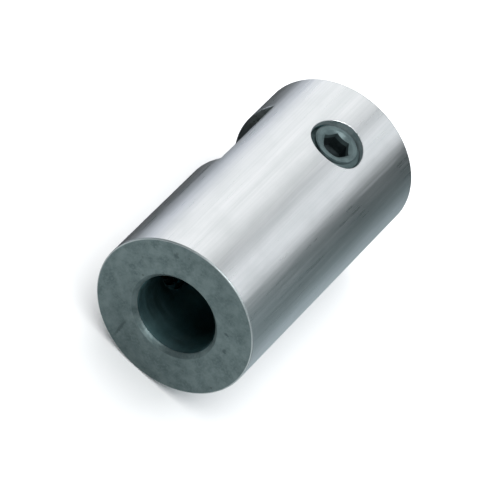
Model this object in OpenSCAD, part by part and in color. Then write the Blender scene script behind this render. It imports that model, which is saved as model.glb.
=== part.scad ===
// One-piece shaft coupling: a plain round sleeve with a set screw for each shaft.
// The bore runs along Y, with the plain end at -Y and the screwed end at +Y.
// The screw at the +Y end points up, along +Z, and the milled flat faces -X.
// The origin is on the bore's axis, halfway along the sleeve. Lengths are in millimetres.

/* [Sleeve] */
// Outside diameter of the sleeve
sleeve_d = 16; // [15:0.5:20]
// Length of the sleeve along its bore
sleeve_len = 30; // [28:1:50]
// Diameter of the through bore that takes both shafts
bore_d = 8; // [5:0.5:8]
// Chamfer at each mouth of the bore
mouth_chamfer = 0.4; // [0.1:0.1:0.8]
// Edge break round the outside at each end
rim_chamfer = 0.15; // [0.05:0.05:0.5]

/* [Milled flat] */
// Depth of the flat below the round outside
flat_depth = 1.15; // [0.3:0.05:1.4]
// Length of the flat along the sleeve
flat_len = 10; // [4:0.5:10]
// Distance of the flat's near end from the sleeve's middle
flat_offset = 0; // [0:0.1:1]

/* [Set screws] */
// Distance of each screw's axis from its own end of the sleeve
screw_inset = 7.2; // [5:0.1:8]
// Turn of the -Y end's screw about the bore, counted from the +Y end's screw
screw_spread = 120; // [100:5:180]
// Depth of each screw's face below the round outside
screw_recess = 0.25; // [0.2:0.05:0.8]
// Gap that each soft tip leaves to the shaft
tip_gap = 0.2; // [0.1:0.05:0.3]
// Width across the flats of the hex socket
hex_flats = 2.5; // [2:0.5:2.5]

/* [Hidden] */
$fn = 96;
sleeve_r = sleeve_d / 2;
bore_r = bore_d / 2;
end_y = sleeve_len / 2;
screw_y = end_y - screw_inset;

// M5 x 0.8 thread, drawn as separate rings. The hole is a plain bore that clears the crests.
pitch = 0.8;
crest_r = 2.5;
root_r = 2.04;
crest_w = pitch / 8;
root_w = pitch / 4;
thread_gap = 0.05;
hole_r = crest_r + thread_gap;
// The hole's mouth widens a little towards the round outside
mouth_r = 2.66;
mouth_depth = 0.6;

// Soft tip: a button on a stem that sits in the end of its screw
tip_head = 0.35;
tip_head_r = 1.6;
tip_edge = 0.12;
stem_r = 1;
stem_len = 0.8;
stem_gap = 0.03;
stem_end_gap = 0.05;

// Radii measured along each screw's axis, from the bore's axis
tip_at = bore_r + tip_gap;
screw_at = tip_at + tip_head;
screw_top = sleeve_r - screw_recess;
screw_len = screw_top - screw_at;
end_chamfer = 0.2;
stem_hole = stem_len + stem_end_gap;
// Steel left between the socket and the stem's hole
web = 0.4;
socket_depth = screw_len - stem_hole - web;
socket_bevel = 0.12;
hex_r = hex_flats / 2 / cos(30);
// Overlap that lets a cut pass cleanly through a surface
cut = 1;

// Puts what is drawn along +Z on a screw's axis: y along the sleeve, turn about the bore
module on_screw_axis(y, turn) {
    rotate([0, -turn, 0]) translate([0, y, 0]) children();
}

// Half outline of the sleeve's wall, with x as the radius
module wall_outline() {
    polygon([
        [bore_r, mouth_chamfer - end_y],
        [bore_r + mouth_chamfer, -end_y],
        [sleeve_r - rim_chamfer, -end_y],
        [sleeve_r, rim_chamfer - end_y],
        [sleeve_r, end_y - rim_chamfer],
        [sleeve_r - rim_chamfer, end_y],
        [bore_r + mouth_chamfer, end_y],
        [bore_r, end_y - mouth_chamfer]
    ]);
}

// Cutter for one tapped hole, from the bore out through the wall
module screw_hole() {
    cylinder(h = sleeve_r + cut, r = hole_r);
    translate([0, 0, sleeve_r - mouth_depth])
        cylinder(
            h = mouth_depth + cut,
            r1 = hole_r,
            r2 = hole_r + (mouth_r - hole_r) * (mouth_depth + cut) / mouth_depth
        );
}

module sleeve() {
    color("silver") difference() {
        rotate([-90, 0, 0]) rotate_extrude($fn = 128) wall_outline();
        on_screw_axis(screw_y, 0) screw_hole();
        on_screw_axis(-screw_y, screw_spread) screw_hole();
        translate([-sleeve_r - cut, flat_offset, -sleeve_r])
            cube([flat_depth + cut, flat_len, sleeve_d]);
    }
}

// Thread rings: a V groove every pitch, cut from the crest down to the root
function ring_steps() = floor((screw_len - 2 * end_chamfer) / pitch);
function ring_start() = (screw_len - ring_steps() * pitch) / 2;
flank_w = (pitch - crest_w - root_w) / 2;

// Half outline of a set screw standing on its tip end, with x as the radius
module screw_outline() {
    grooves = [
        for (i = [0 : ring_steps() - 1])
            let (z = ring_start() + i * pitch + crest_w / 2)
                each [
                    [crest_r, z],
                    [root_r, z + flank_w],
                    [root_r, z + flank_w + root_w],
                    [crest_r, z + 2 * flank_w + root_w]
                ]
    ];
    polygon(concat(
        [[0, 0], [crest_r - end_chamfer, 0], [crest_r, end_chamfer]],
        grooves,
        [[crest_r, screw_len - end_chamfer], [crest_r - end_chamfer, screw_len], [0, screw_len]]
    ));
}

module set_screw() {
    color("dimgray") translate([0, 0, screw_at]) difference() {
        rotate_extrude() screw_outline();
        // Hex socket with a bevelled mouth
        translate([0, 0, screw_len - socket_depth])
            cylinder(h = socket_depth + cut, r = hex_r, $fn = 6);
        translate([0, 0, screw_len - socket_bevel])
            cylinder(h = socket_bevel + cut, r1 = hex_flats / 2, r2 = hex_r + socket_bevel + cut);
        // Pocket that holds the tip's stem
        translate([0, 0, -cut]) cylinder(h = stem_hole + cut, r = stem_r + stem_gap);
    }
}

module screw_tip() {
    color("goldenrod") translate([0, 0, tip_at]) rotate_extrude() polygon([
        [0, 0],
        [tip_head_r - tip_edge, 0],
        [tip_head_r, tip_edge],
        [tip_head_r, tip_head],
        [stem_r, tip_head],
        [stem_r, tip_head + stem_len],
        [0, tip_head + stem_len]
    ]);
}

module far_set_screw() {
    on_screw_axis(screw_y, 0) set_screw();
}

module far_screw_tip() {
    on_screw_axis(screw_y, 0) screw_tip();
}

module near_set_screw() {
    on_screw_axis(-screw_y, screw_spread) set_screw();
}

module near_screw_tip() {
    on_screw_axis(-screw_y, screw_spread) screw_tip();
}

sleeve();
far_set_screw();
far_screw_tip();
near_set_screw();
near_screw_tip();
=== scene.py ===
"""Looks for the set-screw shaft coupling: the sleeve, its two screws and their soft tips.

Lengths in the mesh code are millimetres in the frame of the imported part: the bore along Y,
the plain end at -Y, the visible screw along +Z and the milled flat facing -X.
"""
import math

import bmesh
import bpy
import numpy as np
from mathutils import Matrix, Vector


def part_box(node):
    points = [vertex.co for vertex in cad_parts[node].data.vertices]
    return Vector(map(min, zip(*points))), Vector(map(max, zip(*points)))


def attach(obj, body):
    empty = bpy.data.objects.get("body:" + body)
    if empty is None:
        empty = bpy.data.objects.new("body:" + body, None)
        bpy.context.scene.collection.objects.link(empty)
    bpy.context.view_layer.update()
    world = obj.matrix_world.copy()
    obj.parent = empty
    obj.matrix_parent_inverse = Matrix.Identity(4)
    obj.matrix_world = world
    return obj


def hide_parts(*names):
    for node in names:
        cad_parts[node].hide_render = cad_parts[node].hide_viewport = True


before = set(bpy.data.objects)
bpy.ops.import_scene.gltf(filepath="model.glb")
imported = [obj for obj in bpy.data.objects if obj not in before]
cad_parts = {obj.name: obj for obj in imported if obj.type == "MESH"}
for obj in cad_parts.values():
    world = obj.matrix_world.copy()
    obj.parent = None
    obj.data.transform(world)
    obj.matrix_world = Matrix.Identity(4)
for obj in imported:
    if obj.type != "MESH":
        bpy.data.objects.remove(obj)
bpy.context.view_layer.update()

MM = 0.001
TAU = 2 * math.pi


def box_mm(node):
    low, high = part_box(node)
    return np.array(low) / MM, np.array(high) / MM


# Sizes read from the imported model
SLEEVE_HIGH = box_mm("sleeve")[1]
SCREW_LOW, SCREW_HIGH = box_mm("far_set_screw")
TIP_LOW, TIP_HIGH = box_mm("far_screw_tip")
SLEEVE_R = float(SLEEVE_HIGH[2])
END_Y = float(SLEEVE_HIGH[1])
SCREW_Y = float(SCREW_LOW[1] + SCREW_HIGH[1]) / 2
SCREW_BOTTOM = float(SCREW_LOW[2])
SCREW_TOP = float(SCREW_HIGH[2])
TIP_BOTTOM = float(TIP_LOW[2])
TIP_TOP = float(TIP_HIGH[2])

# Sizes that repeat part.scad
BORE_R = 4.0
MOUTH_CHAMFER = 0.4
RIM_ROUND = 0.15
FLAT_X = 6.85
FLAT_START = 0.0
FLAT_END = 10.0
SCREW_SPREAD = 120.0
MOUTH_R = 2.66
HOLE_R = 2.55
HOLE_ROOT_R = 2.11
CREST_R = 2.5
ROOT_R = 2.04
PITCH = 0.8
HEX_FLAT_R = 1.25
SOCKET_DEPTH = 1.95
STEM_R = 1.0
POCKET_R = 1.03
POCKET_DEPTH = 0.85
TIP_HEAD_R = 1.6
TIP_HEAD = 0.35

# Sizes that only this script has
RECESS_DEPTH = 0.6      # from the screw's top down to the thread in the sleeve
MOUTH_INSET = 0.02      # how much smaller than in part.scad the hole's mouth is drawn
HOLE_LIP = 0.09         # rounding of the hole's mouth
HOLE_FOOT_R = 2.3       # where the thread is cut back at the bore
HOLE_FOOT_BREAK = 0.06  # rounding of the hole's edge in the bore
FACE_EDGE = 0.05        # rounding of the edges of the chamfer at the bore's mouth

# Material slots of the sleeve's mesh
GROUND, FACED, BORED, MILLED, TAPPED = range(5)


# ---------------------------------------------------------------- mesh building

class Shell:
    """Grids of points that share their edges. They are welded into one closed mesh."""

    def __init__(self):
        self.points = []
        self.faces = []
        self.slots = []
        self.count = 0

    def grid(self, points, slot, wrap=True):
        """Adds rows x columns x 3 points. The last column joins the first when wrap is set."""
        points = np.asarray(points, float)
        rows, columns = points.shape[:2]
        index = self.count + np.arange(rows * columns).reshape(rows, columns)
        if wrap:
            index = np.concatenate([index, index[:, :1]], axis=1)
        quads = np.stack([index[:-1, :-1], index[:-1, 1:], index[1:, 1:], index[1:, :-1]], axis=-1)
        slots = np.broadcast_to(slot, quads.shape[:2])
        self.points.append(points.reshape(-1, 3))
        self.faces.append(quads.reshape(-1, 4))
        self.slots.append(slots.reshape(-1))
        self.count += rows * columns

    def keep(self, chosen):
        """Drops the faces of the last grid that aren't chosen."""
        chosen = np.asarray(chosen).reshape(-1)
        self.faces[-1] = self.faces[-1][chosen]
        self.slots[-1] = self.slots[-1][chosen]

    def mesh(self, name, weld=3e-5):
        """Welds the grids and returns the mesh, still in millimetres, with its faces turned outwards."""
        mesh = bpy.data.meshes.new(name)
        mesh.from_pydata(np.concatenate(self.points).tolist(), [], np.concatenate(self.faces).tolist())
        mesh.polygons.foreach_set("material_index", np.concatenate(self.slots).astype(np.int32))
        work = bmesh.new()
        work.from_mesh(mesh)
        bmesh.ops.remove_doubles(work, verts=work.verts, dist=weld)
        loose = [v for v in work.verts if not v.link_faces]
        bmesh.ops.delete(work, geom=loose, context="VERTS")
        bmesh.ops.recalc_face_normals(work, faces=work.faces)
        for face in work.faces:
            face.smooth = True
        work.to_mesh(mesh)
        work.free()
        return mesh


def set_normals(mesh, surface_normal, crease=34.0):
    """Gives each corner the exact normal of the surface it lies on, where there is one."""
    close_enough = 0.8
    mesh.set_sharp_from_angle(angle=math.radians(crease))
    corners = np.zeros((len(mesh.loops), 3), np.float32)
    mesh.corner_normals.foreach_get("vector", corners.reshape(-1))
    places = np.zeros((len(mesh.vertices), 3), np.float32)
    mesh.vertices.foreach_get("co", places.reshape(-1))
    exact = surface_normal(places.astype(float))
    vertex_of = np.zeros(len(mesh.loops), np.int32)
    mesh.loops.foreach_get("vertex_index", vertex_of)
    wanted = exact[vertex_of]
    agrees = (wanted * corners).sum(axis=1) > close_enough
    corners[agrees] = wanted[agrees]
    mesh.normals_split_custom_set(corners.tolist())


def finish_mesh(mesh, surface_normal):
    """Sets the normals while the mesh is in millimetres, then scales it to metres."""
    set_normals(mesh, surface_normal)
    normals = np.zeros((len(mesh.loops), 3), np.float32)
    mesh.corner_normals.foreach_get("vector", normals.reshape(-1))
    mesh.transform(Matrix.Scale(MM, 4))
    mesh.normals_split_custom_set(normals.tolist())
    mesh.update()


def no_exact_normals(places):
    """Leaves the averaged normals of the mesh as they are."""
    return np.zeros_like(places)


def on_screw_axis(points, along, turn):
    """Puts points drawn along +Z on a screw's axis, as the module of that name in part.scad does."""
    x, y, z = np.moveaxis(np.asarray(points, float), -1, 0)
    c, s = math.cos(math.radians(turn)), math.sin(math.radians(turn))
    return np.stack([x * c - z * s, y + along, x * s + z * c], axis=-1)


def arc(centre, radius, start, end, steps):
    """Points of an arc, with angles in degrees from the first axis to the second."""
    angles = np.radians(np.linspace(start, end, steps + 1))
    return [(centre[0] + radius * math.cos(a), centre[1] + radius * math.sin(a)) for a in angles]


def bend(start, corner, end, steps):
    """Quadratic curve that rounds a corner. Each argument is an array of points."""
    rows = []
    for t in np.linspace(0, 1, steps + 1):
        rows.append((1 - t) ** 2 * start + 2 * t * (1 - t) * corner + t ** 2 * end)
    return rows


def polar(radius, angles, height):
    """Ring of points. The radius and the height may change with the angle."""
    x, y = radius * np.cos(angles), radius * np.sin(angles)
    return np.stack([x, y, height + np.zeros_like(x)], axis=-1)


def lathe_y(outline, angles):
    """Turns (radius, y) points about Y, with the angle measured from +Z towards +X."""
    rows = [np.stack([r * np.sin(angles), y + 0 * angles, r * np.cos(angles)], -1) for r, y in outline]
    return np.array(rows)


# Thread profile over one pitch, as (distance along the axis, radius) from the middle of a crest
SCREW_PROFILE = [
    (0.035, CREST_R), (0.062, CREST_R - 0.018), (0.285, ROOT_R + 0.025), (0.325, ROOT_R),
    (0.400, ROOT_R), (0.475, ROOT_R), (0.515, ROOT_R + 0.025), (0.738, CREST_R - 0.018),
    (0.765, CREST_R),
]
HOLE_PROFILE = [
    (0.020, HOLE_R), (0.055, HOLE_R - 0.005), (0.090, HOLE_R - 0.055), (0.285, HOLE_ROOT_R + 0.03),
    (0.320, HOLE_ROOT_R), (0.480, HOLE_ROOT_R), (0.515, HOLE_ROOT_R + 0.03),
    (0.710, HOLE_R - 0.055), (0.745, HOLE_R - 0.005), (0.780, HOLE_R),
]


def thread(profile, angles, low, high, limit):
    """Rows of a right-hand thread between two heights, with its ends cut to the limit's radius."""
    rows = []
    turns = range(math.floor(np.min(low) / PITCH) - 2, math.ceil(np.max(high) / PITCH) + 1)
    for turn in turns:
        for step, radius in profile:
            height = (turn + angles / TAU) * PITCH + step
            height = np.minimum(np.maximum(height, low), high)
            rows.append(polar(limit(radius, height), angles, height))
    return rows


def closed(angles):
    """The angles with the first one again after a full turn. A row that climbs needs both."""
    return np.append(angles, angles[0] + TAU)


# ---------------------------------------------------------------- sleeve

COLUMNS = 192
PATCH_COLUMNS = 32
PATCH_ROWS = 32
BORE_PATCH_COLUMNS = 48
BORE_PATCH_ROWS = 16
RING = 2 * (PATCH_COLUMNS + PATCH_ROWS)
PATCH_HALF = 4.0
PATCH_ANGLE = 30.0
BORE_PATCH_HALF = 3.0
BORE_PATCH_ANGLE = 45.0
BORE_START = -30.0
BORE_LEAD = 0.03  # from the chamfer at the bore's mouth to the bore's last row
FLAT_ANGLE = -90.0
FLAT_REACH = 60.0  # from the flat's middle to the ends of its own columns
CREASE = math.degrees(math.acos(FLAT_X / SLEEVE_R))
EDGE_ROUND = 0.07
FOOT_ROUND = 0.1
WALL_SPREAD = 0.32  # half width of the wall's rows where they cross the round outside
WALL_CLEAR = 0.4    # from the wall to the next plain row


def outer_columns():
    """Angles of the outside's columns, closer together at the flat's two long edges."""
    fine = [-1.4, -0.7, -0.3, 0.0, 0.3, 0.7, 1.4]
    edge = [FLAT_ANGLE - CREASE + step for step in fine]
    before = np.linspace(FLAT_ANGLE - FLAT_REACH, edge[0], 18)[:-1]
    after = np.linspace(edge[-1], FLAT_ANGLE, 10)[1:]
    below = np.concatenate([before, edge, after])
    above = (2 * FLAT_ANGLE - below)[::-1]
    patch = np.linspace(-PATCH_ANGLE, PATCH_ANGLE, PATCH_COLUMNS + 1)
    rest = np.linspace(PATCH_ANGLE, 360 + FLAT_ANGLE - FLAT_REACH, 3 * PATCH_COLUMNS + 1)
    return np.concatenate([below[:-1], above[:-1], patch[:-1], rest[:-1]])


def turned_from(angles, middle):
    """Angles measured from a middle one, each from -180 to 180."""
    return (angles - middle + 180) % 360 - 180


def flat_radius(angles):
    """Radius of the outside where the flat is cut, with its long edges slightly rounded."""
    off = np.radians(turned_from(angles, FLAT_ANGLE))
    chord = FLAT_X / np.maximum(np.cos(off), 0.5)
    blend = 0.03
    share = np.clip(0.5 + 0.5 * (SLEEVE_R - chord) / blend, 0, 1)
    return SLEEVE_R + (chord - SLEEVE_R) * share - blend * share * (1 - share)


def wall_profile():
    """(y, depth below the top, height above the foot) steps of the wall at the flat's end."""
    top = [(-EDGE_ROUND + EDGE_ROUND * math.sin(a), EDGE_ROUND * (1 - math.cos(a)), None)
           for a in np.radians(np.linspace(0, 90, 5))]
    foot = [(FOOT_ROUND * (1 - math.cos(a)), None, FOOT_ROUND * (1 - math.sin(a)))
            for a in np.radians(np.linspace(0, 90, 4))]
    return top + foot


def wall_rows(angles, at, side):
    """Rows down the wall at one end of the flat. Away from the flat they spread over the outside."""
    radius = flat_radius(angles)
    depth = SLEEVE_R - radius
    shrink = np.clip(depth / (EDGE_ROUND + FOOT_ROUND + 0.02), 0, 1)
    off = np.abs(turned_from(angles, FLAT_ANGLE))
    fade = 4.0
    inside = np.clip((CREASE + fade - off) / fade, 0, 1)
    profile = wall_profile()
    spread = np.linspace(-WALL_SPREAD, WALL_SPREAD, len(profile))
    rows = []
    for (step, below, above), wide in zip(profile, spread):
        y = at + side * (step * shrink * inside + wide * (1 - inside))
        if above is None:
            r = SLEEVE_R - below * shrink
        else:
            r = radius + above * shrink
        rows.append((y, r))
    return rows if side > 0 else rows[::-1]


def outer_rows(angles):
    """(y, radius) arrays of every row of the outside, from the plain end to the other.

    The rows that cross a patch number PATCH_ROWS, for the far patch with the flat's wall among them."""
    full = np.full_like(angles, SLEEVE_R)
    floor = flat_radius(angles)
    rim = END_Y - RIM_ROUND

    def plain(values, radius=full):
        return [(y + 0 * angles, radius) for y in values]

    near_low, near_high = -SCREW_Y - PATCH_HALF, -SCREW_Y + PATCH_HALF
    far_low, far_high = SCREW_Y - PATCH_HALF, SCREW_Y + PATCH_HALF
    rows = plain(np.linspace(-rim, near_low, 5)[:-1])
    rows += plain(np.linspace(near_low, near_high, PATCH_ROWS + 1)[:-1])
    rows += plain(np.linspace(near_high, FLAT_START - WALL_CLEAR, 6))
    rows += wall_rows(angles, FLAT_START, 1)
    rows += plain(np.linspace(FLAT_START + WALL_CLEAR, far_low, 6)[:-1], floor)
    rows += plain(np.linspace(far_low, FLAT_END - WALL_CLEAR, 17), floor)
    rows += wall_rows(angles, FLAT_END, -1)
    rows += plain(np.linspace(FLAT_END + WALL_CLEAR, far_high, 7)[:-1])
    rows += plain(np.linspace(far_high, rim, 5))
    return rows


def add_outside(shell):
    """The ground outside with the flat, left open where the two patches round the holes go."""
    angles = outer_columns()
    rows = outer_rows(angles)
    y = np.array([r[0] for r in rows])
    radius = np.array([r[1] for r in rows])
    turn = np.radians(angles)
    points = np.stack([radius * np.sin(turn), y, radius * np.cos(turn)], axis=-1)
    milled_depth = 0.02
    mean_r = (radius[:-1] + radius[1:]) / 2
    mean_r = (mean_r + np.roll(mean_r, -1, axis=1)) / 2
    shell.grid(points, np.where(mean_r < SLEEVE_R - milled_depth, MILLED, GROUND))
    middle_y = (y[:-1] + y[1:]) / 2
    ends = np.roll(angles, -1)
    ends[-1] += 360
    middle_a = (angles + ends) / 2
    open_far = (np.abs(middle_y - SCREW_Y) < PATCH_HALF) & (np.abs(middle_a) < PATCH_ANGLE)
    near_a = middle_a + SCREW_SPREAD
    open_near = (np.abs(middle_y + SCREW_Y) < PATCH_HALF) & (np.abs(near_a) < PATCH_ANGLE)
    shell.keep(~(open_far | open_near))
    return angles, y


def frame_points(columns, rows, radius):
    """Corner-to-corner loop of local (x, y) round a patch, from its +x -y corner."""
    x = radius * np.sin(np.radians(columns))
    right = [(x[-1], y) for y in rows[:-1]]
    top = [(v, rows[-1]) for v in x[:0:-1]]
    left = [(x[0], y) for y in rows[:0:-1]]
    bottom = [(v, rows[0]) for v in x[:-1]]
    return np.array(right + top + left + bottom)


def skin_height(radius, x):
    """Height of a cylinder's surface above the bore's axis, at x from the hole's middle."""
    return np.sqrt(radius ** 2 - x ** 2)


def patch_rows(loop, angles, radius, ring_r, steps):
    """Rows from a patch's frame in to a ring, all on a cylinder of the given radius."""
    ring = ring_r * np.stack([np.cos(angles), np.sin(angles)], axis=-1)
    rows = []
    for t in np.linspace(0, 1, steps + 1):
        flat = loop * (1 - t) + ring * t
        rows.append(np.concatenate([flat, skin_height(radius, flat[:, :1])], axis=-1))
    return rows


def ring_on_skin(radius, ring_r, angles):
    """Ring round a hole's axis that lies on a cylinder of the given radius."""
    return polar(ring_r, angles, skin_height(radius, ring_r * np.cos(angles)))


def add_tapped_hole(shell, along, turn, outer_loop, bore_loop):
    """One tapped hole from the outside's patch down to the bore's patch."""
    corner_angle = -45
    angles = np.radians(corner_angle + 360 / RING * np.arange(RING))

    def place(rows):
        return on_screw_axis(np.array(rows), along, turn)

    # Outside: patch, rounded mouth and the plain recess above the thread
    mouth = MOUTH_R - MOUTH_INSET
    lip = mouth + HOLE_LIP
    skin = patch_rows(outer_loop, angles, SLEEVE_R, lip + 0.25, 6)
    skin.append(ring_on_skin(SLEEVE_R, lip + 0.1, angles))
    skin.append(ring_on_skin(SLEEVE_R, lip, angles))
    shell.grid(place(skin), GROUND)
    corner = ring_on_skin(SLEEVE_R, mouth, angles)
    below = corner - np.array([0, 0, HOLE_LIP])
    shell.grid(place(bend(skin[-1], corner, below, 5)), GROUND)
    recess_floor = SCREW_TOP - RECESS_DEPTH
    wall = [below]
    for t in (0.35, 0.7, 1.0):
        height = below[:, 2] * (1 - t) + (recess_floor + 0.05) * t
        wall.append(polar(mouth + (HOLE_R - mouth) * t, angles, height))
    wall.append(polar(HOLE_R, angles, recess_floor))
    shell.grid(place(wall), TAPPED)

    # Thread, opened to the recess by a countersink and cut back where it meets the bore
    full_turn = closed(angles)
    foot = skin_height(BORE_R, HOLE_FOOT_R * np.cos(full_turn)) + HOLE_FOOT_BREAK

    def limit(radius, height):
        start_slope, most_slope = 2, 4
        sink = HOLE_R - (recess_floor - height)
        start = HOLE_FOOT_R - start_slope * (height - foot)
        most = HOLE_FOOT_R + most_slope * (height - foot)
        radius = np.maximum(np.maximum(radius, sink), start)
        return np.where(height < recess_floor - RECESS_DEPTH, np.minimum(radius, most), radius)

    turns = thread(HOLE_PROFILE, full_turn, foot, recess_floor, limit)
    shell.grid(place(turns), BORED, wrap=False)

    # Bore: rounded edge and patch
    edge = polar(HOLE_FOOT_R, angles, foot[:-1])
    corner = ring_on_skin(BORE_R, HOLE_FOOT_R, angles)
    outward = ring_on_skin(BORE_R, HOLE_FOOT_R + HOLE_FOOT_BREAK, angles)
    shell.grid(place(bend(edge, corner, outward, 3)), BORED)
    inner = patch_rows(bore_loop, angles, BORE_R, HOLE_FOOT_R + HOLE_FOOT_BREAK, 4)
    shell.grid(place(inner), BORED)


def bore_columns():
    """Angles of the bore's columns in degrees, from +Z towards +X."""
    return np.arange(COLUMNS) * 360 / COLUMNS + BORE_START


def bore_rows():
    """Heights along Y of the bore's rows, the same on both sides of the middle."""
    low, high = SCREW_Y - BORE_PATCH_HALF, SCREW_Y + BORE_PATCH_HALF
    end = END_Y - MOUTH_CHAMFER
    half = np.concatenate([
        np.linspace(0, low, 6)[:-1],
        np.linspace(low, high, BORE_PATCH_ROWS + 1)[:-1],
        np.linspace(high, end - BORE_LEAD, 5),
    ])
    return np.concatenate([-half[:0:-1], half])


def add_bore(shell):
    """The bore's wall, left open where the screws' holes come through."""
    angles = bore_columns()
    y = bore_rows()
    points = lathe_y([(BORE_R, value) for value in y], np.radians(angles))
    shell.grid(points, BORED)
    middle_y = (y[:-1] + y[1:])[:, None] / 2
    middle_a = angles + 180 / COLUMNS
    far_a = turned_from(middle_a, 0)
    near_a = turned_from(middle_a, -SCREW_SPREAD)
    open_far = (np.abs(middle_y - SCREW_Y) < BORE_PATCH_HALF) & (np.abs(far_a) < BORE_PATCH_ANGLE)
    open_near = (np.abs(middle_y + SCREW_Y) < BORE_PATCH_HALF) & (np.abs(near_a) < BORE_PATCH_ANGLE)
    shell.keep(~(open_far | open_near))
    return y


def end_outline():
    """(radius, y) of the rim's arc, and of the chamfer at the bore's mouth with its edges rounded."""
    rim = arc((SLEEVE_R - RIM_ROUND, END_Y - RIM_ROUND), RIM_ROUND, 0, 90, 6)
    face_r = BORE_R + MOUTH_CHAMFER
    step = FACE_EDGE * math.tan(math.radians(22.5))
    outer = arc((face_r + step, END_Y - FACE_EDGE), FACE_EDGE, 90, 135, 3)
    inner = arc((BORE_R + FACE_EDGE, END_Y - MOUTH_CHAMFER - step), FACE_EDGE, 135, 180, 3)
    last = (BORE_R, END_Y - MOUTH_CHAMFER - BORE_LEAD)
    return rim, outer + inner + [last]


def add_ends(shell):
    """Both end faces with the rounded rim and the chamfer at the bore's mouth."""
    outer_angles = outer_columns()
    first = int(np.argmin(np.abs(outer_angles - BORE_START)))
    outer_turn = np.radians(np.roll(outer_angles, -first))
    bore_turn = np.radians(bore_columns())
    rim, mouth = end_outline()
    for side in (-1, 1):
        outer = lathe_y([(r, side * y) for r, y in rim], outer_turn)
        inner = lathe_y([(r, side * y) for r, y in mouth], bore_turn)
        face = [outer[-1] * (1 - t) + inner[0] * t for t in np.linspace(0, 1, 5)]
        shell.grid(outer, FACED)
        shell.grid(face, FACED)
        shell.grid(inner, FACED)


def sleeve_normal(places):
    """Exact normals on the round outside, the bore, the end faces and the flat."""
    close = 2e-4
    normals = np.zeros_like(places)
    x, y, z = places.T
    radius = np.hypot(x, z)
    radial = np.stack([x, 0 * x, z], axis=-1) / np.maximum(radius, 1e-6)[:, None]
    inside = np.abs(y) < END_Y - RIM_ROUND + 0.01
    outside = (np.abs(radius - SLEEVE_R) < close) & inside
    bore = np.abs(radius - BORE_R) < close
    normals[outside] = radial[outside]
    normals[bore] = -radial[bore]
    ends = np.abs(np.abs(y) - END_Y) < close
    normals[ends] = np.stack([0 * y, np.sign(y), 0 * y], axis=-1)[ends]
    flat = (np.abs(x + FLAT_X) < close) & (y > FLAT_START) & (y < FLAT_END)
    normals[flat] = (-1, 0, 0)
    return normals


def build_sleeve():
    """Sleeve as one closed mesh: outside, bore, both tapped holes and both ends."""
    shell = Shell()
    angles, y = add_outside(shell)
    bore_y = add_bore(shell)
    local = np.linspace(-BORE_PATCH_ANGLE, BORE_PATCH_ANGLE, BORE_PATCH_COLUMNS + 1)
    for along, turn in ((SCREW_Y, 0.0), (-SCREW_Y, SCREW_SPREAD)):
        column = np.append(angles, angles[0] + 360)
        first = int(np.argmin(np.abs(column + turn + PATCH_ANGLE)))
        columns = column[first:first + PATCH_COLUMNS + 1] + turn
        edge_y = y[:, first]
        low = int(np.argmin(np.abs(edge_y - along + PATCH_HALF)))
        rows = edge_y[low:low + PATCH_ROWS + 1] - along
        outer_loop = frame_points(columns, rows, SLEEVE_R)
        low = int(np.argmin(np.abs(bore_y - along + BORE_PATCH_HALF)))
        rows = bore_y[low:low + BORE_PATCH_ROWS + 1] - along
        bore_loop = frame_points(local, rows, BORE_R)
        add_tapped_hole(shell, along, turn, outer_loop, bore_loop)
    add_ends(shell)
    mesh = shell.mesh("sleeve_body")
    finish_mesh(mesh, sleeve_normal)
    return mesh


# ---------------------------------------------------------------- set screws and tips

SCREW_COLUMNS = 144
TIP_COLUMNS = 96
END_FACE_R = 2.0    # edge of the flat face at each end of a screw
BEVEL_R = 1.6       # edge of the bevel at the socket's mouth
BEVEL_FALL = 0.8    # how far the bevel falls for each millimetre inwards
DRILL_R = 1.12      # drilled hole in the socket's floor
DRILL_POINT = 0.2   # depth of that hole's point
POCKET_BREAK = 0.05
EDGE_BREAK = 0.01
BUTTON_ROUND = 0.16
BUTTON_DOME = 0.01
STEM_BREAK = 0.08


def hexagon(angles):
    """Radius of the hex socket's wall at each angle."""
    off = (np.degrees(angles) + 30) % 60 - 30
    return HEX_FLAT_R / np.cos(np.radians(30 - np.abs(off)))


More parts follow.
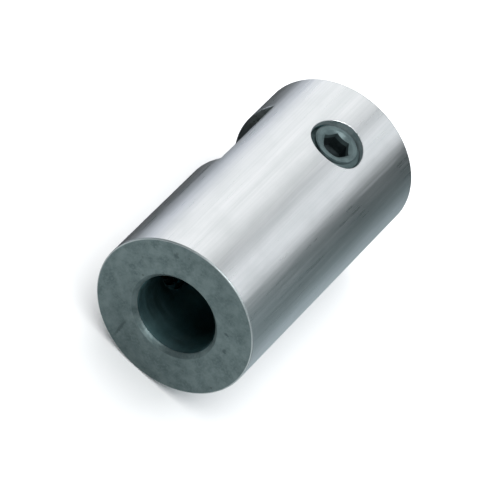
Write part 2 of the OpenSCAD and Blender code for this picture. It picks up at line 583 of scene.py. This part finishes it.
def build_screw(name, along, turn):
    """Set screw with a real thread, a bevelled hex socket and the pocket for its tip's stem."""
    shell = Shell()
    angles = np.radians(np.arange(SCREW_COLUMNS) * 360 / SCREW_COLUMNS)

    def limit(radius, height):
        room = np.minimum(height - SCREW_BOTTOM, SCREW_TOP - height)
        return np.minimum(radius, END_FACE_R + room)

    def add(rows, wrap=True, slot=0):
        shell.grid(on_screw_axis(np.array(rows), along, turn), slot, wrap)

    add(thread(SCREW_PROFILE, closed(angles), SCREW_BOTTOM, SCREW_TOP, limit), wrap=False)

    # Top: face, bevel down to the hexagon, socket wall and drilled bottom
    walls = hexagon(angles)
    floor = SCREW_TOP - SOCKET_DEPTH
    bevel_top = SCREW_TOP - EDGE_BREAK
    meet = bevel_top - BEVEL_FALL * (BEVEL_R - walls)
    top = [polar(END_FACE_R, angles, SCREW_TOP), polar(BEVEL_R + 0.03, angles, SCREW_TOP)]
    top.append(polar(BEVEL_R, angles, bevel_top))
    top.append(polar((BEVEL_R + walls) / 2, angles, (bevel_top + meet) / 2))
    top.append(polar(walls, angles, meet))
    for t in (0.04, 0.3):
        top.append(polar(walls, angles, meet * (1 - t) + floor * t))
    add(top)
    # From here down, the socket wall and its drilled bottom take slot 1, near-black painted shade for the
    # deep socket; the upper wall keeps the oxide.
    socket = top[-1:]
    for t in (0.6, 0.97, 1.0):
        socket.append(polar(walls, angles, meet * (1 - t) + floor * t))
    socket.append(polar(DRILL_R, angles, floor))
    socket.append(polar(DRILL_R - 0.04, angles, floor - EDGE_BREAK))
    socket.append(polar(0.0, angles, floor - DRILL_POINT))
    add(socket, slot=1)

    # Bottom: end face and pocket
    ceiling = SCREW_BOTTOM + POCKET_DEPTH
    bottom = [polar(END_FACE_R, angles, SCREW_BOTTOM)]
    bottom.append(polar(POCKET_R + POCKET_BREAK, angles, SCREW_BOTTOM))
    bottom.append(polar(POCKET_R, angles, SCREW_BOTTOM + POCKET_BREAK))
    bottom.append(polar(POCKET_R, angles, ceiling - 0.02))
    bottom.append(polar(POCKET_R, angles, ceiling))
    bottom.append(polar(0.0, angles, ceiling))
    add(bottom)
    mesh = shell.mesh(name)
    finish_mesh(mesh, no_exact_normals)
    return mesh


def build_tip(name, along, turn):
    """Turned brass tip: a domed button and the stem that holds it in its screw."""
    head_top = TIP_BOTTOM + TIP_HEAD - EDGE_BREAK
    edge_centre = (TIP_HEAD_R - BUTTON_ROUND, TIP_BOTTOM + BUTTON_DOME + BUTTON_ROUND)
    outline = [(0.0, TIP_BOTTOM), (0.6, TIP_BOTTOM), (1.1, TIP_BOTTOM + 0.006)]
    outline += arc(edge_centre, BUTTON_ROUND, -80, 0, 5)
    outline += [(TIP_HEAD_R, head_top - 0.03), (TIP_HEAD_R - 0.03, head_top)]
    outline += [(STEM_R + 0.02, head_top), (STEM_R, head_top + 0.03)]
    outline += [(STEM_R, TIP_TOP - STEM_BREAK), (STEM_R - STEM_BREAK, TIP_TOP), (0.0, TIP_TOP)]
    angles = np.radians(np.arange(TIP_COLUMNS) * 360 / TIP_COLUMNS)
    shell = Shell()
    rows = [polar(r, angles, h) for r, h in outline]
    shell.grid(on_screw_axis(np.array(rows), along, turn), 0)
    mesh = shell.mesh(name)
    finish_mesh(mesh, no_exact_normals)
    return mesh


# ---------------------------------------------------------------- materials

class Finish:
    """A node material being built. Its coordinates are the part's own, in millimetres."""

    def __init__(self, name):
        self.material = bpy.data.materials.new(name)
        self.material.use_nodes = True
        self.tree = self.material.node_tree
        self.tree.nodes.clear()
        output = self.tree.nodes.new("ShaderNodeOutputMaterial")
        self.shader = self.tree.nodes.new("ShaderNodeBsdfPrincipled")
        self.link(self.shader.outputs["BSDF"], output.inputs["Surface"])
        place = self.tree.nodes.new("ShaderNodeTexCoord")
        self.place = place.outputs["Object"]

    def link(self, source, target):
        self.tree.links.new(source, target)

    def put(self, socket, value):
        """Links the socket to a value that is itself a socket, or else stores the value."""
        if isinstance(value, bpy.types.NodeSocket):
            self.link(value, socket)
        else:
            socket.default_value = value

    def set(self, **values):
        """Sets inputs of the shader. An underscore in a name stands for a space."""
        for name, value in values.items():
            self.put(self.shader.inputs[name.replace("_", " ")], value)

    def mapped(self, scale=(1, 1, 1), offset=(0, 0, 0)):
        """Coordinates in millimetres, stretched by scale after the offset is added."""
        node = self.tree.nodes.new("ShaderNodeMapping")
        node.inputs["Scale"].default_value = [s / MM for s in scale]
        node.inputs["Location"].default_value = [o * s for o, s in zip(offset, scale)]
        self.link(self.place, node.inputs["Vector"])
        return node.outputs["Vector"]

    def noise(self, vector, scale, detail=2.0, rough=0.5):
        node = self.tree.nodes.new("ShaderNodeTexNoise")
        node.inputs["Scale"].default_value = scale
        node.inputs["Detail"].default_value = detail
        node.inputs["Roughness"].default_value = rough
        self.link(vector, node.inputs["Vector"])
        return node.outputs["Fac"]

    def cells(self, vector, scale):
        node = self.tree.nodes.new("ShaderNodeTexVoronoi")
        node.inputs["Scale"].default_value = scale
        self.link(vector, node.inputs["Vector"])
        return node.outputs["Distance"]

    def math(self, operation, a, b=0.0, c=0.0):
        node = self.tree.nodes.new("ShaderNodeMath")
        node.operation = operation
        for socket, value in zip(node.inputs, (a, b, c)):
            self.put(socket, value)
        return node.outputs[0]

    def spread(self, value, low, high, to_low, to_high, smooth=False):
        """Maps low..high to to_low..to_high and holds the ends."""
        node = self.tree.nodes.new("ShaderNodeMapRange")
        node.interpolation_type = "SMOOTHSTEP" if smooth else "LINEAR"
        for socket, number in zip(node.inputs[1:5], (low, high, to_low, to_high)):
            socket.default_value = number
        self.link(value, node.inputs[0])
        return node.outputs[0]

    def tint(self, share, first, second):
        """Colour that goes from the first to the second as the share goes from 0 to 1."""
        node = self.tree.nodes.new("ShaderNodeMix")
        node.data_type = "RGBA"
        self.put(node.inputs[0], share)
        for socket, value in ((node.inputs[6], first), (node.inputs[7], second)):
            self.put(socket, value if isinstance(value, bpy.types.NodeSocket) else (*value, 1))
        return node.outputs[2]

    def split(self, vector):
        node = self.tree.nodes.new("ShaderNodeSeparateXYZ")
        self.link(vector, node.inputs[0])
        return node.outputs

    def length(self, a, b):
        square = self.math("ADD", self.math("MULTIPLY", a, a), self.math("MULTIPLY", b, b))
        return self.math("SQRT", square)

    def bump(self, height, distance_mm, strength=1.0, under=None):
        node = self.tree.nodes.new("ShaderNodeBump")
        node.inputs["Strength"].default_value = strength
        node.inputs["Distance"].default_value = distance_mm * MM
        self.link(height, node.inputs["Height"])
        if under is not None:
            self.link(under, node.inputs["Normal"])
        return node.outputs["Normal"]

    def tangent_y(self):
        """Direction round the Y axis, for reflections that spread across the lines."""
        node = self.tree.nodes.new("ShaderNodeTangent")
        node.direction_type = "RADIAL"
        node.axis = "Y"
        return node.outputs["Tangent"]


def ground_steel():
    """Drawn bar: fine lines along the sleeve that spread reflections round it."""
    m = Finish("ground_steel")
    lines = m.noise(m.mapped((1, 0.02, 1)), scale=5.0, detail=3.0, rough=0.55)
    bands = m.noise(m.mapped((1, 0.012, 1), offset=(3, 0, 7)), scale=1.1, detail=2.0, rough=0.5)
    patches = m.noise(m.mapped((1, 0.5, 1), offset=(11, 4, 2)), scale=0.35, detail=3.0, rough=0.6)
    grain = m.noise(m.mapped((1, 0.12, 1), offset=(5, 5, 5)), scale=9.0, detail=3.0, rough=0.7)
    shade = m.math("ADD", m.math("MULTIPLY", lines, 0.5), m.math("MULTIPLY", bands, 0.5))
    colour = m.tint(m.spread(shade, 0.35, 0.65, 0, 1), (0.55, 0.575, 0.58), (0.66, 0.675, 0.685))
    colour = m.tint(m.spread(patches, 0.5, 0.75, 0, 0.35), colour, (0.50, 0.53, 0.53))
    rough = m.math("ADD", m.spread(lines, 0.3, 0.7, 0.26, 0.33), m.spread(patches, 0.4, 0.7, 0, 0.04))
    relief = m.bump(lines, 0.006, strength=0.35)
    relief = m.bump(bands, 0.05, strength=0.5, under=relief)
    relief = m.bump(grain, 0.003, strength=0.15, under=relief)
    m.set(Base_Color=colour, Metallic=1.0, Roughness=rough, Anisotropic=0.6, Normal=relief)
    m.link(m.tangent_y(), m.shader.inputs["Tangent"])
    return m.material


# A scratch, a dimple and two pits on the plain end's face: middle in X and Z, half size in X and Z
FACE_MARKS = [
    (-3.15, -5.6, 0.16, 1.2),
    (-3.2, 5.8, 0.30, 0.22),
    (5.4, 1.0, 0.2, 0.25),
    (4.6, 2.7, 0.25, 0.15),
]


def faced_steel():
    """Cut-off and tumbled end faces: dull, mottled, with small pits and faint turning marks."""
    m = Finish("faced_steel")
    here = m.mapped()
    x, y, z = m.split(here)[:3]
    radius = m.length(x, z)
    mottle = m.noise(here, scale=0.8, detail=4.0, rough=0.6)
    speckle = m.noise(m.mapped(offset=(9, 3, 6)), scale=4.0, detail=3.0, rough=0.65)
    pits = m.spread(m.cells(m.mapped(offset=(1, 8, 3)), 0.75), 0.05, 0.13, 1, 0, True)
    pits = m.math("MULTIPLY", pits, m.spread(mottle, 0.45, 0.6, 0.2, 1))
    groove_rate = 26.0
    turning = m.math("SINE", m.math("MULTIPLY", radius, groove_rate))
    blotch = m.noise(m.mapped(offset=(6, 2, 4)), scale=0.3, detail=3.0, rough=0.6)
    colour = m.tint(m.spread(mottle, 0.38, 0.62, 0, 1), (0.070, 0.099, 0.101), (0.113, 0.150, 0.152))
    colour = m.tint(m.spread(speckle, 0.45, 0.7, 0, 0.6), colour, (0.145, 0.185, 0.185))
    colour = m.tint(m.spread(blotch, 0.45, 0.62, 0, 0.25), colour, (0.060, 0.085, 0.087))
    colour = m.tint(m.math("MULTIPLY", pits, 0.7), colour, (0.05, 0.07, 0.07))
    on_plain_end = m.spread(y, 1 - END_Y, 2 - END_Y, 1, 0)
    wander = m.spread(speckle, 0.3, 0.7, -0.09, 0.09)
    for middle_x, middle_z, half_x, half_z in FACE_MARKS:
        across = m.math("DIVIDE", m.math("ADD", m.math("SUBTRACT", x, middle_x), wander), half_x)
        along = m.math("DIVIDE", m.math("SUBTRACT", z, middle_z), half_z)
        mark = m.spread(m.length(across, along), 0.5, 1.3, 0.6, 0, True)
        mark = m.math("MULTIPLY", mark, on_plain_end)
        colour = m.tint(mark, colour, (0.035, 0.052, 0.055))
    rim = m.spread(radius, SLEEVE_R - RIM_ROUND, SLEEVE_R - RIM_ROUND / 2, 0, 1, True)
    colour = m.tint(rim, colour, (0.34, 0.38, 0.385))
    relief = m.bump(speckle, 0.03, strength=0.5)
    relief = m.bump(m.math("SUBTRACT", 1.0, pits), 0.06, strength=0.6, under=relief)
    relief = m.bump(turning, 0.004, strength=0.3, under=relief)
    m.set(Base_Color=colour, Metallic=1.0, Roughness=m.spread(speckle, 0.3, 0.7, 0.46, 0.58), Normal=relief)
    return m.material


def bored_steel():
    """Bore and tapped threads: dark, with painted shade that deepens towards the middle, and fine rings
    from the tool.
    """
    m = Finish("bored_steel")
    rings = m.noise(m.mapped((0.03, 1, 0.03)), scale=6.0, detail=2.0, rough=0.5)
    stain = m.noise(m.mapped(), scale=0.5, detail=3.0, rough=0.6)
    colour = m.tint(m.spread(stain, 0.35, 0.65, 0, 1), (0.15, 0.29, 0.31), (0.25, 0.43, 0.46))
    # Painted shade: the colour darkens from the bore's mouths towards its middle, where little light gets
    # in.
    lit_end = END_Y - MOUTH_CHAMFER
    painted_shade_full = 10.5
    off_middle = m.math("ABSOLUTE", m.split(m.mapped())[1])
    inside = m.spread(off_middle, lit_end, painted_shade_full, 0, 0.85)
    colour = m.tint(inside, colour, (0.060, 0.135, 0.145))
    m.set(Base_Color=colour, Metallic=1.0, Roughness=m.spread(rings, 0.3, 0.7, 0.36, 0.5))
    m.set(Normal=m.bump(rings, 0.02, strength=0.5))
    return m.material


def milled_steel():
    """Flat: fine arcs left by an end mill that travelled along the sleeve."""
    m = Finish("milled_steel")
    half_pitch = 0.11
    curvature = 0.09
    y, z = m.split(m.mapped())[1:3]
    curve = m.math("MULTIPLY", m.math("MULTIPLY", z, z), curvature)
    arcs = m.math("PINGPONG", m.math("ADD", y, curve), half_pitch)
    arcs = m.spread(arcs, 0.0, half_pitch, 0, 1, True)
    fine = m.noise(m.mapped(offset=(2, 2, 2)), scale=3.0, detail=3.0, rough=0.6)
    colour = m.tint(m.spread(fine, 0.35, 0.65, 0, 1), (0.37, 0.42, 0.43), (0.46, 0.51, 0.52))
    relief = m.bump(arcs, 0.01, strength=0.5)
    relief = m.bump(fine, 0.015, strength=0.4, under=relief)
    m.set(Base_Color=colour, Metallic=1.0, Roughness=m.spread(fine, 0.3, 0.7, 0.26, 0.38), Normal=relief)
    return m.material


def tapped_steel():
    """Recess above the thread: cut steel darkened by oil."""
    m = Finish("tapped_steel")
    stain = m.noise(m.mapped(), scale=1.6, detail=3.0, rough=0.6)
    colour = m.tint(m.spread(stain, 0.35, 0.65, 0, 1), (0.20, 0.26, 0.27), (0.30, 0.365, 0.38))
    m.set(Base_Color=colour, Metallic=0.8, Roughness=m.spread(stain, 0.3, 0.7, 0.5, 0.62))
    m.set(Normal=m.bump(stain, 0.02, strength=0.4))
    return m.material


def black_oxide():
    """Blackened screw steel, faintly mottled."""
    m = Finish("black_oxide")
    cloud = m.noise(m.mapped(), scale=1.2, detail=4.0, rough=0.6)
    grain = m.noise(m.mapped(offset=(4, 1, 8)), scale=9.0, detail=3.0, rough=0.6)
    colour = m.tint(m.spread(cloud, 0.35, 0.65, 0, 1), (0.038, 0.058, 0.061), (0.068, 0.098, 0.101))
    m.set(Base_Color=colour, Metallic=0.5, Roughness=m.spread(grain, 0.3, 0.7, 0.42, 0.54))
    m.set(Normal=m.bump(grain, 0.01, strength=0.4))
    return m.material


def socket_painted_shade():
    """Deeper wall and bottom of the hex socket: near-black colour that is painted shade for the socket's
    dark depth, faintly mottled.
    """
    m = Finish("socket_painted_shade")
    socket_mottle = m.noise(m.mapped(), scale=2.5, detail=3.0, rough=0.6)
    # Painted shade: near black, for where the socket is deep and little light reaches.
    colour = m.tint(m.spread(socket_mottle, 0.35, 0.65, 0, 1), (0.006, 0.011, 0.012), (0.014, 0.022, 0.024))
    m.set(Base_Color=colour, Metallic=0.6, Roughness=m.spread(socket_mottle, 0.3, 0.7, 0.5, 0.65))
    m.set(Normal=m.bump(socket_mottle, 0.02, strength=0.4))
    return m.material


def turned_brass():
    """Turned tip: clouded brass with a fine roughness from the tool."""
    m = Finish("turned_brass")
    marks = m.noise(m.mapped(), scale=7.0, detail=2.0, rough=0.5)
    cloud = m.noise(m.mapped(offset=(2, 6, 1)), scale=1.0, detail=3.0, rough=0.6)
    colour = m.tint(m.spread(cloud, 0.35, 0.65, 0, 1), (0.45, 0.32, 0.13), (0.60, 0.45, 0.21))
    m.set(Base_Color=colour, Metallic=1.0, Roughness=m.spread(marks, 0.3, 0.7, 0.24, 0.36))
    m.set(Normal=m.bump(marks, 0.01, strength=0.4))
    return m.material


def pale_floor():
    """Matt pale paper, very slightly uneven."""
    m = Finish("pale_floor")
    fibre = m.noise(m.mapped(), scale=0.08, detail=2.0, rough=0.5)
    colour = m.tint(m.spread(fibre, 0.3, 0.7, 0, 1), (0.86, 0.865, 0.87), (0.89, 0.895, 0.90))
    m.set(Base_Color=colour, Roughness=0.9)
    return m.material


# ---------------------------------------------------------------- the object

def add_piece(name, mesh, materials, body, node):
    """Puts a piece in the scene. It rides on a body and stands for a CAD node."""
    piece = bpy.data.objects.new(name, mesh)
    bpy.context.scene.collection.objects.link(piece)
    for material in materials:
        mesh.materials.append(material)
    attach(piece, body)
    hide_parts(node)


sleeve_finishes = [ground_steel(), faced_steel(), bored_steel(), milled_steel(), tapped_steel()]
screw_finishes = [black_oxide(), socket_painted_shade()]
brass = turned_brass()
add_piece("coupling_sleeve", build_sleeve(), sleeve_finishes, "sleeve", "sleeve")
for end, along, turn in (("far", SCREW_Y, 0.0), ("near", -SCREW_Y, SCREW_SPREAD)):
    screw = build_screw(end + "_screw_body", along, turn)
    add_piece(end + "_screw", screw, screw_finishes, end + "_screw", end + "_set_screw")
    tip = build_tip(end + "_tip_body", along, turn)
    add_piece(end + "_tip", tip, [brass], end + "_tip", end + "_screw_tip")


# ---------------------------------------------------------------- camera, floor and light

# Cool tints of what the steel reflects, where that is dim and where it is bright
SHADE_COLOUR = (0.74, 0.96, 1.0)
LIGHT_COLOUR = (0.92, 0.965, 1.08)

# The photograph's camera: degrees, metres, and millimetres of lens for a 36 mm sensor
CAMERA_AZIMUTH = 3.92
CAMERA_ELEVATION = 43.80
CAMERA_ROLL = -39.2
CAMERA_PLACE = (0.025978, -0.372434, 0.355955)
CAMERA_LENS = 409.4
CAMERA_SENSOR = 36

# The direction that the round outside mirrors for that camera: its parts out from the bore and along it
MIRROR_OUT = 0.694
MIRROR_ALONG = 0.72


def add_camera():
    """Camera on the photograph's line of sight, with its roll."""
    azimuth, elevation, roll = map(math.radians, (CAMERA_AZIMUTH, CAMERA_ELEVATION, CAMERA_ROLL))
    level = math.cos(elevation)
    ahead = Vector((-math.sin(azimuth) * level, math.cos(azimuth) * level, -math.sin(elevation)))
    side = ahead.cross(Vector((0, 0, 1))).normalized()
    rise = side.cross(ahead)
    up = math.cos(roll) * rise + math.sin(roll) * side
    right = ahead.cross(up)
    data = bpy.data.cameras.new("camera")
    data.lens = CAMERA_LENS
    data.sensor_width = CAMERA_SENSOR
    data.clip_start, data.clip_end = 0.02, 20
    camera = bpy.data.objects.new("camera", data)
    bpy.context.scene.collection.objects.link(camera)
    turned = Matrix((right, up, -ahead)).transposed().to_4x4()
    camera.matrix_world = Matrix.Translation(CAMERA_PLACE) @ turned
    bpy.context.scene.camera = camera


def add_floor():
    """Square of paper that the sleeve lies on, in metres from its middle to its sides."""
    reach = 0.6
    level = -SLEEVE_R * MM
    corners = [(x * reach, y * reach, level) for x, y in ((-1, -1), (1, -1), (1, 1), (-1, 1))]
    mesh = bpy.data.meshes.new("floor")
    mesh.from_pydata(corners, [], [(0, 1, 2, 3)])
    mesh.materials.append(pale_floor())
    floor = bpy.data.objects.new("floor", mesh)
    bpy.context.scene.collection.objects.link(floor)
    return floor


def add_softbox(name, direction, distance, across, size, radiance, colour):
    """Area light that faces the part. Across is the direction of its first size."""
    aim = Vector(direction).normalized()
    wide = Vector(across)
    wide = (wide - wide.dot(aim) * aim).normalized()
    tall = aim.cross(wide)
    data = bpy.data.lights.new(name, "AREA")
    data.shape = "RECTANGLE"
    data.size, data.size_y = size
    data.energy = radiance * math.pi * size[0] * size[1]
    data.color = colour
    lamp = bpy.data.objects.new(name, data)
    bpy.context.scene.collection.objects.link(lamp)
    lamp.matrix_world = Matrix.Translation(aim * distance) @ Matrix((wide, tall, aim)).transposed().to_4x4()
    lamp.visible_camera = False
    return lamp


def spare_floor(lamp, floor):
    """Keeps a lamp off the floor, so that it throws no shadow there."""
    spared = bpy.data.collections.new(lamp.name + "_spares")
    spared.objects.link(floor)
    spared.collection_objects[0].light_linking.link_state = "EXCLUDE"
    lamp.light_linking.receiver_collection = spared


def card_glow(name, axis, stops, fade=1.0):
    """Emission that changes along X or Y. Stops are (millimetres, radiance), in rising order.

    Dim stops take the cool tint and bright ones the light tint. From fade_start to fade_end
    along Y the glow falls to the share called fade."""
    dim_level, bright_level = 0.3, 0.9
    fade_start, fade_end = 8, 42
    material = bpy.data.materials.new(name)
    material.use_nodes = True
    tree = material.node_tree
    tree.nodes.clear()
    place = tree.nodes.new("ShaderNodeTexCoord")
    split = tree.nodes.new("ShaderNodeSeparateXYZ")
    curve = tree.nodes.new("ShaderNodeValToRGB")
    span = tree.nodes.new("ShaderNodeMapRange")
    glow = tree.nodes.new("ShaderNodeEmission")
    output = tree.nodes.new("ShaderNodeOutputMaterial")
    first, last = stops[0][0], stops[-1][0]
    span.inputs[1].default_value, span.inputs[2].default_value = first * MM, last * MM
    steps = curve.color_ramp.elements
    while len(steps) < len(stops):
        steps.new(0.5)
    for step, (at, level) in zip(steps, stops):
        step.position = (at - first) / (last - first)
        share = min(max((level - dim_level) / (bright_level - dim_level), 0), 1)
        step.color = [level * (a + (b - a) * share) for a, b in zip(SHADE_COLOUR, LIGHT_COLOUR)] + [1]
    tree.links.new(place.outputs["Object"], split.inputs[0])
    tree.links.new(split.outputs[axis], span.inputs[0])
    tree.links.new(span.outputs[0], curve.inputs[0])
    tree.links.new(curve.outputs[0], glow.inputs["Color"])
    dimmer = tree.nodes.new("ShaderNodeMapRange")
    for socket, value in zip(dimmer.inputs[1:5], (fade_start * MM, fade_end * MM, 1.0, fade)):
        socket.default_value = value
    tree.links.new(split.outputs["Y"], dimmer.inputs[0])
    tree.links.new(dimmer.outputs[0], glow.inputs["Strength"])
    tree.links.new(glow.outputs[0], output.inputs["Surface"])
    return material


def add_card(name, corners, glow):
    """Card that only reflections see. It shapes the light and dark bands on the steel."""
    mesh = bpy.data.meshes.new(name)
    mesh.from_pydata([[c * MM for c in corner] for corner in corners], [], [(0, 1, 2, 3)])
    mesh.materials.append(glow)
    card = bpy.data.objects.new(name, mesh)
    bpy.context.scene.collection.objects.link(card)
    card.visible_camera = False
    card.visible_diffuse = False
    card.visible_shadow = False
    card.visible_transmission = False


def add_cards():
    """A toned card on the floor at each side of the sleeve and a dark upright one on the right."""
    lift = 0.05
    level = lift - SLEEVE_R
    flag_x, flag_top = 60, 48
    right = [(3, 0.52), (13, 0.58), (18, 0.54), (23, 0.44), (31, 0.29), (50, 0.18), (200, 0.18)]
    left = [(-200, 1.36), (-59, 1.32), (-38, 0.92), (-29, 0.20), (-23, 0.02), (-12, 0.01), (-1, 0.01)]
    flag = [(-14, 0.60), (35, 0.33), (50, 0.19), (60, 0.11), (85, 0.06), (200, 0.05)]
    near, far = -14, 260
    for name, tones, fade in (("right_floor_card", right, 0.66), ("left_floor_card", left, 0.75)):
        inner, outer = tones[0][0], tones[-1][0]
        corners = [(inner, near, level), (outer, near, level), (outer, far, level), (inner, far, level)]
        add_card(name, corners, card_glow(name + "_glow", "X", tones, fade))
    corners = [(flag_x, near, level), (flag_x, far, level)]
    corners += [(flag_x, far, flag_top), (flag_x, near, flag_top)]
    add_card("right_flag", corners, card_glow("right_flag_glow", "Y", flag))


def mirror_direction(angle):
    """Where the camera sees, in the round outside, at this angle from +Z towards +X."""
    turn = math.radians(angle)
    return Vector((MIRROR_OUT * math.sin(turn), MIRROR_ALONG, MIRROR_OUT * math.cos(turn)))


def along_mirror(angle):
    """Direction round the bore at this angle, from +Z towards +X."""
    turn = math.radians(angle)
    return Vector((math.cos(turn), 0, -math.sin(turn)))


def add_world():
    """Dim cool surroundings, and a white backdrop where the camera looks past the floor."""
    surround_colour, surround_level = (0.87, 0.96, 1.0, 1), 0.24
    backdrop_colour, backdrop_level = (1.0, 1.0, 1.0, 1), 1.0
    world = bpy.data.worlds.new("studio")
    world.use_nodes = True
    bpy.context.scene.world = world
    tree = world.node_tree
    tree.nodes.clear()
    output = tree.nodes.new("ShaderNodeOutputWorld")
    dim = tree.nodes.new("ShaderNodeBackground")
    dim.inputs["Color"].default_value = surround_colour
    dim.inputs["Strength"].default_value = surround_level
    pale = tree.nodes.new("ShaderNodeBackground")
    pale.inputs["Color"].default_value = backdrop_colour
    pale.inputs["Strength"].default_value = backdrop_level
    rays = tree.nodes.new("ShaderNodeLightPath")
    mix = tree.nodes.new("ShaderNodeMixShader")
    tree.links.new(rays.outputs["Is Camera Ray"], mix.inputs["Fac"])
    tree.links.new(dim.outputs[0], mix.inputs[1])
    tree.links.new(pale.outputs[0], mix.inputs[2])
    tree.links.new(mix.outputs[0], output.inputs["Surface"])


add_camera()
floor = add_floor()
add_cards()
add_world()

# Two boxes that the round outside mirrors as its bright bands, left and right of the screw
left_angle, right_angle = -47, 32
add_softbox("left_box", mirror_direction(left_angle), 0.30, along_mirror(left_angle),
            size=(0.32, 0.26), radiance=1.17, colour=(1.0, 0.985, 0.985))
add_softbox("top_box", mirror_direction(right_angle), 0.30, along_mirror(right_angle),
            size=(0.172, 0.26), radiance=1.08, colour=(0.98, 0.98, 1.0))

# A key light for the plain end and the screw, and a wide one for the floor that reflections miss
white = (1.0, 1.0, 1.0)
key = add_softbox("front_box", (0.26, -0.36, 0.90), 0.80, (1, 0, 0),
                  size=(0.40, 0.40), radiance=15.0, colour=white)
spare_floor(key, floor)
fill = add_softbox("floor_fill", (0, 0, 1), 0.90, (1, 0, 0),
                   size=(1.80, 1.80), radiance=2.3, colour=white)
fill.visible_glossy = False
bpy.context.scene.view_settings.view_transform = "Standard"
